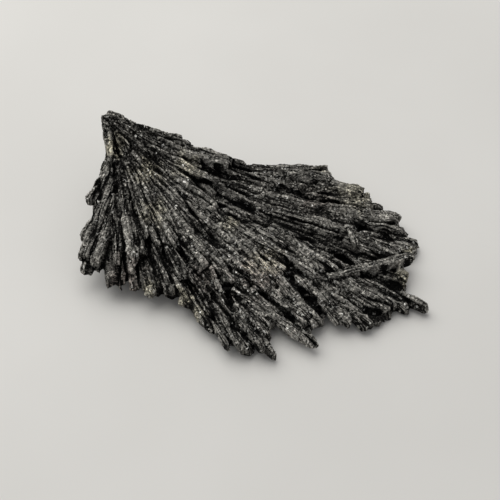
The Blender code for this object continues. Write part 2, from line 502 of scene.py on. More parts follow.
# These front laths take the deep shade as painted shade: they are darkened because they face away from the
# light.
FRONT = CrystalTier(
    "front",
    (
        (-45, 94, 0.2), (-48.5, 87, 0.6), (-51.5, 89, 0.0), (-53.6, 93, 0.3), (-55.7, 95.5, 0.5),
        (-58.5, 90, 0.0), (-61.3, 86.5, 0.4), (-63.4, 76, -0.4), (-65.5, 67, 0.0), (-68.5, 61.5, -0.6),
        (-71.5, 58.5, -1.6), (-75, 57, -1.4), (-79, 55.5, -2.0), (-83, 53.5, -2.4), (-87.5, 52, -2.2),
        (-91, 48, -2.4),
    ),
    shade=Shade.DEEP, **BROAD,
)
VALLEY = CrystalTier(
    "valley",
    ((-20, 92, -2.4), (-22.2, 93, -2.2), (-24.2, 106.5, 0.0), (-26.4, 110, 0.0), (-28.4, 111, -0.6)),
    34.0, -9.0, (3.0, 4.0), 0.95, (1, 2), Shade.DEEP,
)
HUMP = CrystalTier(
    "hump",
    ((-31.5, 70, 1.6), (-34.5, 86, 1.4), (-38, 78, 1.6), (-41.5, 84, 0.8), (-45, 70, 1.2), (-49, 72, 0.6)),
    30.0, -1.0, (4.0, 4.0), 0.86, (1, 2), Shade.WORN,
)
UNDER = CrystalTier(
    "under",
    (
        (20, 20, -7.5), (10, 31, -7.0), (3, 46, -5.4), (-1.5, 64, -3.8), (-6, 80, -3.2),
        (-12, 90, -2.8), (-18, 98, -2.6), (-24, 102, -2.6), (-30, 102, -2.4), (-36, 100, -2.6),
        (-42, 90, -2.8), (-48, 83, -2.6), (-54, 84, -2.8), (-60, 80, -3.0), (-66, 61, -3.4),
        (-72, 54, -4.4), (-79, 48, -5.0), (-87, 44, -5.0), (-94, 42, -4.4),
    ),
    -1.0, -7.0, (5.0, 2.0), 1.3, (2, 3), Shade.DEEP, bundle=3.4, pitch=3.0,
)
FOOT = CrystalTier(
    "foot",
    (
        (-6, 74, -4.6), (-20, 90, -4.0), (-33, 92, -3.8), (-46, 80, -4.2), (-58, 76, -4.6), (-70, 52, -6.0),
    ),
    24.0, -9.0, (11.0, 11.0), 0.4, (2, 3), Shade.DEEP, bundle=2.0, pitch=3.0,
)
STEEP = {
    "root_reach": 3.0, "root_lift": -9.0, "depth": (6.5, 4.5), "overlap": 1.0, "ribs": (1, 2),
    "shade": Shade.DEEP, "scatter": 1.0, "bundle": 1.7, "births": (0, 6, 2), "pitch": 1.8, "widest": 6.0,
}
STEEP_BACK = CrystalTier(
    "steep_back",
    (
        (32, 16.5, -19.0), (26, 18, -18.2), (21, 20, -16.4), (16.5, 22.5, -16.2), (12, 25, -15.2),
        (7.5, 27.5, -14.4), (3, 30, -13.0), (-1, 33.5, -12.4), (-5, 37, -11.6), (-8.5, 40.5, -9.8),
        (-12, 44, -8.8),
    ),
    **STEEP,
)
STEEP_LEFT = CrystalTier(
    "steep_left",
    (
        (-80, 40, -10.2), (-84, 37.5, -11.6), (-88, 36, -12.4), (-92, 34.5, -12.0), (-96, 33, -12.6),
        (-99.5, 31, -13.8), (-102.5, 29, -15.2), (-107, 23, -16.4),
    ),
    **STEEP,
)
TIERS = (CROWN, RAILS, MAIN, FRONT, VALLEY, HUMP, UNDER, FOOT, STEEP_BACK, STEEP_LEFT)
RIM = sorted((end for tier in (RAILS, MAIN, FRONT, VALLEY) for end in tier.ends), reverse=True)


def rim_reach(bearing: float) -> float:
    """Gives the rim's reach at a bearing, from the tip that is nearest to it."""
    return min(RIM, key=lambda end: abs(end[0] - bearing))[1]


@dataclass(frozen=True)
class LoneCrystals:
    """Crystals set one by one: the stalk's end, the skirt, the spikes and the lath that lies across.

    Args:
        blades: Each crystal as one rib.
    """

    blades: tuple[Rib, ...]

    def build(self, shaper: CrystalShaper, rng: random.Random) -> list[bpy.types.Object]:
        """Makes the crystals.

        Args:
            shaper: Makes each mesh.
            rng: Source of unevenness.

        Returns:
            One object for each crystal.
        """
        LOG.info("lone: %d crystals", len(self.blades))
        return [shaper.build(f"lone_{i}", rib, rng) for i, rib in enumerate(self.blades)]


THINNER = 0.9  # thickness of a lone crystal's tip, as a share of its root's


def lone(root: Pair, tip: Pair, width: Pair, lift: Pair, depth: float, shade: Shade) -> Rib:
    """Gives a crystal that is a little thinner at its tip."""
    return Rib(root, tip, width, lift, (depth, THINNER * depth), shade.value)


LONE = LoneCrystals(
    (
        lone((72, 4.4), (2, 15), (2.4, 2.3), (0.6, 0.1), 6.5, Shade.DEEP),
        lone((102, 4.6), (-8, 17), (2.4, 2.3), (1.0, 0.1), 7.0, Shade.DEEP),
        lone((132, 3.9), (-18, 16), (2.4, 2.4), (0.8, 0.2), 7.0, Shade.DEEP),
        lone((158, 2.2), (-30, 16), (2.2, 2.5), (1.1, 0.2), 6.5, Shade.DEEP),
        lone((180, 1.6), (-44, 14), (2.1, 2.4), (0.6, 0.3), 6.0, Shade.COMMON),
        lone((205, 1.6), (-62, 15), (2.2, 2.4), (-0.2, 0.3), 5.5, Shade.WORN),
        lone((228, 2.0), (-78, 16), (1.9, 2.2), (-1.4, 0.2), 5.0, Shade.PALE),
        lone((-79, 13), (-100.0, 27.5), (3.6, 5.4), (0.2, 1.3), 4.0, Shade.COMMON),
        lone((-84, 21), (-101.5, 38.5), (2.4, 3.6), (-0.8, -0.2), 5.0, Shade.DEEP),
        lone((-82, 19), (-98.6, 46.0), (3.2, 4.8), (1.5, 1.1), 5.0, Shade.COMMON),
        lone((-83, 24), (-93.2, 47.0), (2.6, 3.8), (1.2, 0.5), 5.0, Shade.WORN),
        lone((-88, 28), (-97, 48.5), (3.0, 4.2), (-3.0, -2.4), 4.0, Shade.DEEP),
        lone((-28.4, 60), (-29.5, 119.6), (6.6, 3.6), (-1.0, 0.4), 4.4, Shade.DEEP),
        lone((-30.6, 82), (-31.0, 114), (4.4, 3.6), (-0.6, -0.4), 4.2, Shade.DEEP),
        lone((-52, 68), (-47.8, 100.5), (4.0, 2.8), (0.5, 0.0), 3.6, Shade.WORN),
        lone((-47, 66), (-46, 95), (3.0, 4.2), (-1.4, -0.8), 3.6, Shade.DEEP),
        lone((-30, 70), (-33.2, 110.0), (4.0, 5.6), (0.9, 0.6), 3.6, Shade.WORN),
        lone((-33, 78), (-37.4, 108.0), (4.0, 6.6), (0.3, -0.6), 4.0, Shade.DEEP),
        lone((-38, 62), (-44.4, 96.0), (4.4, 5.2), (1.4, 0.8), 4.2, Shade.WORN),
        lone((-36, 72), (-40.6, 100.5), (4.0, 6.0), (0.9, 0.4), 3.6, Shade.COMMON),
        lone((-19.6, 82), (-20.8, 103.5), (4.4, 4.8), (0.6, 0.0), 4.0, Shade.COMMON),
        lone((-21.8, 84), (-22.8, 103), (3.6, 4.0), (0.4, 0.2), 4.0, Shade.COMMON),
        lone((-4, 66), (-7.3, 87), (3.5, 5.0), (0.2, 2.0), 4.8, Shade.WORN),
        lone((-35.0, 87.5), (-21.0, 108.0), (2.4, 2.6), (2.8, 2.8), 5.8, Shade.WORN),
        lone((-19.2, 84), (-24.0, 89.5), (2.0, 1.9), (1.8, 1.7), 2.8, Shade.COMMON),
        lone((-13, 21), (-6.9, 41.0), (3.0, 3.8), (1.9, 2.7), 5.0, Shade.COMMON),
        lone((-3.4, 60), (-5.0, 76.0), (3.0, 4.8), (1.1, 1.9), 4.6, Shade.DEEP),
    ),
)


@dataclass(frozen=True)
class Splinters:
    """Short narrow crystals that lie on the tiers and break up their faces.

    Args:
        count: How many there are.
        length: Shortest and longest.
        width: Narrowest and widest.
        root_width: Width at the root, as a share of the width at the tip.
        lift: Lowest and highest.
        bearings: First and last bearing.
        inside: How far they stay inside the rim.
        clear: How far their roots stay from the head.
        inward: Square of the share of the rim's reach that the nearest tip has.
        skew: How far they turn off the way that the tiers run, in degrees.
        sunk: How far the roots lie under the tips.
        depth: Thickness.
        tone: Darkest and palest.
        columns: Facets across.
        pitch: Length of a facet.
        valley: Bearing and reach of the middle of the valley, where they lie lower.
        valley_size: How far the valley spreads in bearing and in reach.
        valley_depth: How much lower they lie in it.
    """

    count: int = 80
    length: Pair = (6.0, 24.0)
    width: Pair = (1.2, 3.2)
    root_width: float = 0.5
    lift: Pair = (0.0, 1.3)
    bearings: Pair = (-88.0, -7.0)
    inside: float = 1.5
    clear: float = 3.0
    inward: float = 0.03
    skew: float = 0.7
    sunk: float = 0.5
    depth: float = 1.8
    tone: Pair = (0.2, 0.8)
    columns: int = 2
    pitch: float = 1.8
    valley: Pair = (-24.5, 55.0)
    valley_size: Pair = (3.4, 22.0)
    valley_depth: float = 4.0

    def hollow(self, bearing: float, reach: float) -> float:
        """Gives how much lower the valley lies at a place on the fan.

        Args:
            bearing: Bearing of the place.
            reach: Its reach.

        Returns:
            The depth, nothing well away from the valley.
        """
        spans = zip((bearing, reach), self.valley, self.valley_size)
        turned, out = ((at - middle) / size for at, middle, size in spans)
        return self.valley_depth * math.exp(-(turned**2)) * math.exp(-(out**2))

    def build(self, shaper: CrystalShaper, rng: random.Random) -> list[bpy.types.Object]:
        """Makes the splinters.

        Args:
            shaper: Makes each mesh.
            rng: Source of unevenness.

        Returns:
            One object for each splinter.
        """
        made = []
        for i in range(self.count):
            bearing = rng.uniform(*self.bearings)
            rim = rim_reach(bearing) - self.inside
            length = rng.uniform(*self.length)
            tip = max(length + self.clear, rim * math.sqrt(rng.uniform(self.inward, 1.0)))
            lift = rng.uniform(*self.lift) - self.hollow(bearing, tip)
            turn = rng.gauss(0.0, self.skew)
            width = rng.uniform(*self.width)
            rib = Rib(
                (bearing - turn, tip - length), (bearing + turn, tip), (self.root_width * width, width),
                (lift - self.sunk, lift), (self.depth, self.depth), rng.uniform(*self.tone),
                self.columns, self.pitch,
            )
            made.append(shaper.build(f"splinter_{i}", rib, rng))
        LOG.info("splinters: %d crystals", len(made))
        return made


@dataclass(frozen=True)
class Patch:
    """A round patch of the fan: bearing, reach and radius."""

    bearing: float
    reach: float
    radius: float


@dataclass(frozen=True)
class Crumbs:
    """Grains that cling to the crystals, thickest where the fan is knobbly.

    Args:
        patches: Where they cling, with how many in each.
        size: Smallest and largest radius.
        tone: Darkest and palest.
        spread: How far they spread from a patch's middle, as a share of its radius.
        sunk: How far a grain is sunk, as a share of its radius.
    """

    patches: tuple[tuple[Patch, int], ...] = (
        (Patch(-45, 62, 17), 95), (Patch(-55, 72, 12), 40), (Patch(-35, 88, 14), 30),
        (Patch(-75, 50, 9), 26), (Patch(-30, 40, 16), 30), (Patch(-14, 88, 12), 24),
    )
    size: Pair = (0.35, 0.95)
    tone: Pair = (0.35, 1.0)
    spread: float = 0.5
    sunk: float = 0.25

    def build(self, shaper: CrystalShaper, rng: random.Random) -> list[bpy.types.Object]:
        """Makes the grains.

        Args:
            shaper: Makes each mesh.
            rng: Source of their places.

        Returns:
            One object for each grain.
        """
        made = []
        roof = shaper.roof
        for patch, count in self.patches:
            centre = roof.plan(patch.bearing, patch.reach)
            for _ in range(count):
                spread = Vector((rng.gauss(0, self.spread), rng.gauss(0, self.spread), 0.0)) * patch.radius
                point = centre + spread
                radius = rng.uniform(*self.size)
                point.z = roof.over(point) - self.sunk * radius
                made.append(knob(shaper, f"crumb_{len(made)}", point, radius, rng.uniform(*self.tone), rng))
        LOG.info("crumbs: %d grains", len(made))
        return made


@dataclass(frozen=True)
class MatrixLumps:
    """Knobs of pale matrix caught between the tips: bearing, reach, lift and radius of each."""

    lumps: tuple[tuple[float, float, float, float], ...] = (
        (-1.6, 73.0, 1.3, 2.4), (-25.2, 106.0, 0.6, 2.4), (-74.5, 57.0, -1.8, 2.0),
        (-66.0, 63.5, -1.6, 1.8),
    )

    def build(self, shaper: CrystalShaper, rng: random.Random) -> list[bpy.types.Object]:
        """Makes the knobs.

        Args:
            shaper: Makes each mesh.
            rng: Source of unevenness.

        Returns:
            One object for each knob.
        """
        made = []
        for bearing, reach, lift, radius in self.lumps:
            point = shaper.roof.plan(bearing, reach)
            point.z = shaper.roof.height(reach) + lift - radius
            made.append(knob(shaper, f"lump_{len(made)}", point, radius, 1.0, rng, detail=2))
        LOG.info("matrix lumps: %d", len(made))
        return made


KNOB_UNEVENNESS = (0.7, 1.2)  # how far out a knob's points lie, as shares of its radius
KNOB_SEAMS = 0.15  # how deep the seams round it are, from 0 to 1


def knob(
    shaper: CrystalShaper, name: str, centre: Vector, radius: float, tone: float, rng: random.Random,
    detail: int = 1,
) -> bpy.types.Object:
    """Makes an uneven ball.

    Args:
        shaper: Keeps its grain.
        name: Name of the object.
        centre: Its centre.
        radius: Its mean radius.
        tone: How pale it is.
        rng: Source of unevenness.
        detail: Subdivisions of the ball.

    Returns:
        The ball.
    """
    bm = bmesh.new()
    bmesh.ops.create_icosphere(bm, subdivisions=detail, radius=radius, calc_uvs=False)
    for vert in bm.verts:
        vert.co = (centre + vert.co * rng.uniform(*KNOB_UNEVENNESS)) * MM
    turn = rng.uniform(0.0, math.tau)
    along = Vector((math.cos(turn), math.sin(turn), 0.0))
    return shaper.grown(name, bm, Grain(centre, along, tone, rng.uniform(*PATTERN), KNOB_SEAMS))


@dataclass(frozen=True)
class GrownMass:
    """The mass that the crystals grow out of, under the roof and arched clear of the ground below the head.

    Args:
        depth: How far its top lies under the roof.
        share: Share of the crystals' reach that it fills.
        underside: Lowest and highest clearance over the ground.
        stalk: Thickness at the head.
        run: Reach at which it comes down to the ground.
        arch: How steeply its underside comes down near the head.
        start: Reach at which it starts, clear of the head, where its facets would fall together.
        thinnest: Least thickness.
        roughness: How uneven its top is.
        rough_rate: How fast the top's unevenness changes, per degree and per mm of reach.
        lengthwise: Facets along a bearing.
        across: Facets over all bearings.
    """

    depth: float = 4.6
    share: float = 0.84
    underside: Pair = (0.7, 2.4)
    stalk: float = 9.0
    run: float = 34.0
    arch: float = 1.4
    start: float = 1.0
    thinnest: float = 1.2
    roughness: float = 0.5
    rough_rate: Pair = (0.8, 0.2)
    lengthwise: int = 24
    across: int = 60

    def build(self, shaper: CrystalShaper, rng: random.Random) -> bpy.types.Object:
        """Makes the mass.

        Args:
            shaper: Keeps its grain.
            rng: Source of unevenness.

        Returns:
            One closed object.
        """
        first, last = RIM[0][0], RIM[-1][0]
        roof = shaper.roof
        bm = bmesh.new()
        strip_box(bm, self.lengthwise, self.across)
        for vert in bm.verts:
            bearing = last + (first - last) * (vert.co.y + 0.5)
            reach = self.start + (self.share * rim_reach(bearing) - self.start) * (vert.co.x + 0.5)
            lifted = max(0.0, 1.0 - reach / self.run) ** self.arch
            bottom = rng.uniform(*self.underside) + (roof.head_height - self.stalk) * lifted
            point = roof.plan(bearing, reach)
            top = roof.height(reach) - self.depth
            rough = noise_at(bearing * self.rough_rate[0], reach * self.rough_rate[1], 0.0)
            point.z = top + self.roughness * rough if vert.co.z > 0 else min(bottom, top - self.thinnest)
            vert.co = point * MM
        LOG.info("grown mass: %d facets", len(bm.faces))
        middle = roof.plan(0.5 * (first + last), 1.0) - roof.head
        return shaper.grown("grown_mass", bm, Grain(roof.head, middle, Shade.DEEP.value, 0.0))


@dataclass(frozen=True)
class Crust:
    """The crust that covers the grown-together crystals, with ribs, knots, and gaps that open and close.

    Args:
        cell: Size of one facet.
        gap_depth: Depth of the gaps between crystals.
        gap_edge: How much of a gap's spacing it takes up.
        gap_run: How fast the gaps change along the fan, per mm.
        gap_turns: How fast they change across it, per degree, near the head and at the rim.
        gap_change: Reach at which the change from the one to the other starts, and its length.
        gap_steepness: How quickly a gap reaches its full depth.
        opening: Share to which gaps are open on average, and how far it varies.
        opening_rate: How fast that changes, per mm of reach and per degree.
        gap_floor: Height under which there are no gaps, and the height over which they then deepen.
        gap_roof: How far over the roof the gaps end.
        rib: Height of the ribs along a crystal.
        rib_rate: How fast the ribs change along and across a crystal, per mm.
        rib_edge: How sharp the grooves between ribs are.
        knot: Height of the long knots on them.
        knot_rate: How fast the knots change along and across, per mm.
        bead: Full height of the small round lumps.
        bead_rate: How close these stand, per mm.
        bead_level: Height of a small lump's top, as a share of that height, and how steeply it falls off.
        grit: Height of the grit on them.
        seam: Depth of the seams between two crystals.
        seam_reach: How strongly a seam takes hold of the facets beside it.
        facing: How quickly the gaps close as the skin turns upright, and how open they are where it is.
        most: Most triangles that the skin may have.
        underneath: Upward slope under which a facet counts as lying underneath.
        plain: How raised a place is that has no rib, lump, grit, gap or seam, from 0 to 1.
        raised: How much each of these five changes that; the finish paints this as shade in grooves, gaps
            and seams and as highlight on ridges and lumps.
    """

    cell: float = 0.5
    gap_depth: float = 1.8
    gap_edge: float = 0.13
    gap_run: float = 0.045
    gap_turns: Pair = (0.2, 0.4)
    gap_change: Pair = (42.0, 26.0)
    gap_steepness: float = 1.6
    opening: Pair = (0.6, 2.0)
    opening_rate: Pair = (0.075, 0.22)
    gap_floor: Pair = (1.5, 2.0)
    gap_roof: float = 2.0
    rib: float = 0.32
    rib_rate: Pair = (0.035, 0.55)
    rib_edge: float = 0.16
    knot: float = 0.416
    knot_rate: Pair = (0.24, 0.85)
    bead: float = 0.14
    bead_rate: float = 1.1
    bead_level: Pair = (0.5, 2.0)
    grit: float = 0.06
    seam: float = 0.65
    seam_reach: float = 1.6
    facing: Pair = (2.0, 0.4)
    most: int = 192000
    underneath: float = -0.2
    plain: float = 0.75
    raised: tuple[float, ...] = (0.5, 0.6, 0.08, -1.0, -0.65)

    def skin(self, mesh: bpy.types.Mesh) -> bpy.types.Mesh:
        """Gives an even skin of small facets round a closed mesh, with fewer and larger ones underneath.

        Args:
            mesh: The closed mesh.

        Returns:
            The skin.
        """
        even = finished(mesh, "REMESH", mode="VOXEL", voxel_size=self.cell * MM)
        triangles = sum(len(face.vertices) - 2 for face in even.polygons)
        under = [vert.index for vert in even.vertices if vert.normal.z < self.underneath]
        return finished(even, "DECIMATE", under, ratio=min(1.0, self.most / triangles))

    def gap(self, bearing: float, reach: float) -> float:
        """Gives how open a gap is at a place on the fan, from 0 to 1.

        Args:
            bearing: Bearing of the place.
            reach: Its reach.

        Returns:
            1 in the middle of an open gap, and 0 on a crystal.
        """
        start, length = self.gap_change
        rimward = within((reach - start) / length)
        first, second = (
            abs(noise_at(reach * self.gap_run, bearing * turns, layer))
            for turns, layer in zip(self.gap_turns, GAP_LAYERS)
        )
        cleft = max(0.0, 1.0 - blend((first, second), rimward) / self.gap_edge)
        run_rate, turn_rate = self.opening_rate
        varied = noise_at(reach * run_rate, bearing * turn_rate, OPENING_LAYER)
        opening = self.opening[0] + self.opening[1] * varied
        return min(1.0, self.gap_steepness * cleft) * within(opening)

    def relief(self, run: float, offset: float, shift: float, point: Vector) -> Pair:
        """Gives the height of the ribs and of the lumps at a place on a crystal.

        Args:
            run: How far along the crystal it is.
            offset: How far across.
            shift: Where the crystal's pattern starts.
            point: The place itself.

        Returns:
            The ribs' height from -1 in a groove to 0, and the lumps' height from about -1 to 1.
        """
        line = abs(noise_at(run * self.rib_rate[0], offset * self.rib_rate[1], shift))
        groove = max(0.0, 1.0 - line / self.rib_edge)
        knots = noise_at(run * self.knot_rate[0], offset * self.knot_rate[1], shift + KNOT_LAYER)
        top, fall = self.bead_level
        beads = top - fall * abs(noise.noise(point * self.bead_rate))
        return -groove, self.knot * knots + self.bead * beads

    def seam_at(
        self, vert: bmesh.types.BMVert, number: bmesh.types.BMLayerItem, grains: list[Grain]
    ) -> float:
        """Gives how deep in a seam between crystals a vertex lies.

        Args:
            vert: The vertex.
            number: Layer that holds the number of each vertex's crystal.
            grains: The grain of each crystal.

        Returns:
            0 on one crystal, up to 1 between two.
        """
        own = vert[number]
        others = [edge.other_vert(vert)[number] for edge in vert.link_edges]
        seam = min(1.0, self.seam_reach * sum(other != own for other in others) / len(others))
        return seam * min(grains[index].edge for index in (own, *others))

    def grow(self, bm: bmesh.types.BMesh, roof: Roof, grains: list[Grain], rng: random.Random) -> None:
        """Moves the skin in at gaps and grooves and out at lumps, and writes how raised each vertex is, for
        the painted shade and painted highlight of the finish.

        Args:
            bm: The skin, in metres.
            roof: The surface that the crystals follow.
            grains: The grain of each crystal.
            rng: Source of the grit.
        """
        relief_shading = bm.verts.layers.float.new("relief_shading")
        number = bm.verts.layers.int["grain"]
        lowest, deepening = self.gap_floor
        closing, upright = self.facing
        bm.normal_update()
        moved = []
        for vert in bm.verts:
            point = vert.co / MM
            away = point - roof.head
            reach = math.hypot(away.x, away.y)
            grain = grains[vert[number]]
            ribs, lumps = self.relief(*grain.laid(point), grain.shift, point)
            gap = self.gap(math.degrees(math.atan2(away.y, away.x)), reach)
            gap *= within(vert.normal.z * closing + upright) * within((point.z - lowest) / deepening)
            gap *= within(roof.height(reach) + self.gap_roof - point.z)
            grit = rng.gauss(0.0, 1.0)
            seam = self.seam_at(vert, number, grains)
            rise = self.rib * ribs + lumps - self.gap_depth * gap + self.grit * grit - self.seam * seam
            moved.append(vert.co + vert.normal * rise * MM)
            # How raised a vertex is, which the finish paints as shade in grooves, gaps and seams and as
            # highlight on ridges and lumps.
            parts = zip(self.raised, (ribs, lumps, grit, gap, seam))
            vert[relief_shading] = within(sum((share * part for share, part in parts), self.plain))
        for vert, place in zip(bm.verts, moved):
            vert.co = place


@dataclass(frozen=True)
class Stain:
    """A patch of colour on the crystals.

    Args:
        spot: Where it is.
        strength: How strongly it shows.
        farthest: Radii from its middle past which there is none of it.
        full: Strength in its middle, so that more than 1 gives it a full core.
        fade: How much of that is lost over one radius.
        ragged: How uneven its edge is, in large and in small.
        ragged_rate: How fast that changes, per mm.
    """

    spot: Patch
    strength: float
    farthest: float = 2.2
    full: float = 1.5
    fade: float = 1.4
    ragged: Pair = (0.9, 0.5)
    ragged_rate: Pair = (0.35, 1.1)

    def at(self, point: Vector, roof: Roof) -> float:
        """Gives how strongly the stain shows at a point.

        Args:
            point: The point, in millimetres.
            roof: The surface that the crystals follow.

        Returns:
            Its strength, from 0 to 1.
        """
        centre = roof.plan(self.spot.bearing, self.spot.reach)
        away = math.hypot(point.x - centre.x, point.y - centre.y) / self.spot.radius
        if away > self.farthest:
            return 0.0
        raggedness = zip(self.ragged, self.ragged_rate)
        large, small = (share * noise.noise(point * rate) for share, rate in raggedness)
        return self.strength * within(self.full - self.fade * away + (large + small))


PALE_STAINS = (
    Stain(Patch(-78, 8.5, 4.2), 0.95), Stain(Patch(-48, 20, 5.5), 0.75), Stain(Patch(-22, 28, 5.5), 0.6),
    Stain(Patch(-62, 33, 5.0), 0.6), Stain(Patch(-36, 50, 3.4), 0.6), Stain(Patch(-40, 68, 6.5), 0.6),
    Stain(Patch(-8, 83, 7.5), 0.55), Stain(Patch(-1.5, 71, 3.0), 0.7), Stain(Patch(-26, 107, 3.6), 0.8),
    Stain(Patch(-19.5, 105, 2.6), 0.8), Stain(Patch(-75, 56, 3.6), 0.75), Stain(Patch(-66, 63, 3.6), 0.7),
    Stain(Patch(-64, 70, 3.0), 0.7),
)
SPARKLES = (
    Stain(Patch(-47, 66, 17.0), 1.0), Stain(Patch(-58, 80, 11.0), 1.0), Stain(Patch(-47, 92, 9.0), 0.9),
    Stain(Patch(-20, 103, 6.0), 0.9), Stain(Patch(-72, 50, 9.0), 0.6), Stain(Patch(-38, 88, 12.0), 0.6),
)
RUST_STAINS = (
    Stain(Patch(-44, 70, 9.0), 0.55), Stain(Patch(-82, 52, 7.0), 0.6), Stain(Patch(-57, 60, 6.0), 0.45),
    Stain(Patch(-12, 70, 7.0), 0.35),
)
STAINS = {"pale": PALE_STAINS, "rust": RUST_STAINS, "sparkle": SPARKLES}


class NodeSheet:
    """A material's nodes, added and joined in one line each."""

    def __init__(self, name: str) -> None:
        """Starts a material with an empty sheet.

        Args:
            name: Name of the material.
        """
        self.material = bpy.data.materials.new(name)
        self.material.use_nodes = True
        self.tree = self.material.node_tree
        self.tree.nodes.clear()

    def add(self, kind: str, inputs: dict | None = None, **settings: object) -> bpy.types.Node:
        """Adds a node.

        Args:
            kind: Its type, without the ShaderNode prefix.
            inputs: A value or an output for each named or numbered input.
            **settings: Its own settings.

        Returns:
            The node.
        """
        node = self.tree.nodes.new("ShaderNode" + kind)
        for key, value in settings.items():
            setattr(node, key, value)
        for key, value in (inputs or {}).items():
            if isinstance(value, bpy.types.NodeSocket):
                self.tree.links.new(value, node.inputs[key])
            else:
                node.inputs[key].default_value = value
        return node

    def math(self, operation: str, *values: object) -> bpy.types.NodeSocket:
        """Adds a Math node, and gives its result."""
        return self.add("Math", dict(enumerate(values)), operation=operation).outputs[0]

    def vector(self, operation: str, first: object, second: object = None) -> bpy.types.NodeSocket:
        """Adds a Vector Math node, and gives its result."""
        inputs = {0: first} if second is None else {0: first, 1: second}
        return self.add("VectorMath", inputs, operation=operation).outputs[0]

    def scaled(self, vector: object, size: object) -> bpy.types.NodeSocket:
        """Multiplies a vector or a colour by a number, and gives the result."""
        return self.add("VectorMath", {0: vector, "Scale": size}, operation="SCALE").outputs[0]

    def stretched(self, vector: bpy.types.NodeSocket, rates: tuple) -> bpy.types.NodeSocket:
        """Stretches coordinates, and gives the result."""
        return self.add("Mapping", {0: vector, 3: rates}).outputs[0]

    def cloud(
        self, place: bpy.types.NodeSocket, scale: float, detail: float, roughness: float
    ) -> bpy.types.NodeSocket:
        """Adds a smooth noise, and gives its value."""
        sizes = {"Scale": scale, "Detail": detail, "Roughness": roughness}
        return self.add("TexNoise", {"Vector": place, **sizes}).outputs[0]

    def mix(self, factor: object, first: object, second: object) -> bpy.types.NodeSocket:
        """Mixes two colours, and gives the result."""
        return self.add("Mix", {0: factor, 6: first, 7: second}, data_type="RGBA").outputs[2]

    def ramp(self, value: bpy.types.NodeSocket, low: float, high: float) -> bpy.types.NodeSocket:
        """Stretches low to high over 0 to 1, with soft ends."""
        return self.add("MapRange", {0: value, 1: low, 2: high}, interpolation_type="SMOOTHSTEP").outputs[0]

    def attribute(self, name: str) -> bpy.types.NodeSocket:
        """Reads a number that the mesh carries."""
        return self.add("Attribute", attribute_name=name).outputs["Fac"]


@dataclass(frozen=True)
class Streaks:
    """The patterns that the kyanite's colour and relief are made of.

    Args:
        fine: Fine speckle.
        striae: Striations along the crystals.
        hairs: Thin dark hairlines along them.
        grain: Random colour of each grain, in three parts.
        tilts: The same as one vector.
        openness: How open a place is to the light, from 0 to 1, found by ambient occlusion; it darkens
            crevices with painted shade and keeps cleavages out of them.
    """

    fine: bpy.types.NodeSocket
    striae: bpy.types.NodeSocket
    hairs: bpy.types.NodeSocket
    grain: list[bpy.types.NodeSocket]
    tilts: bpy.types.NodeSocket
    openness: bpy.types.NodeSocket


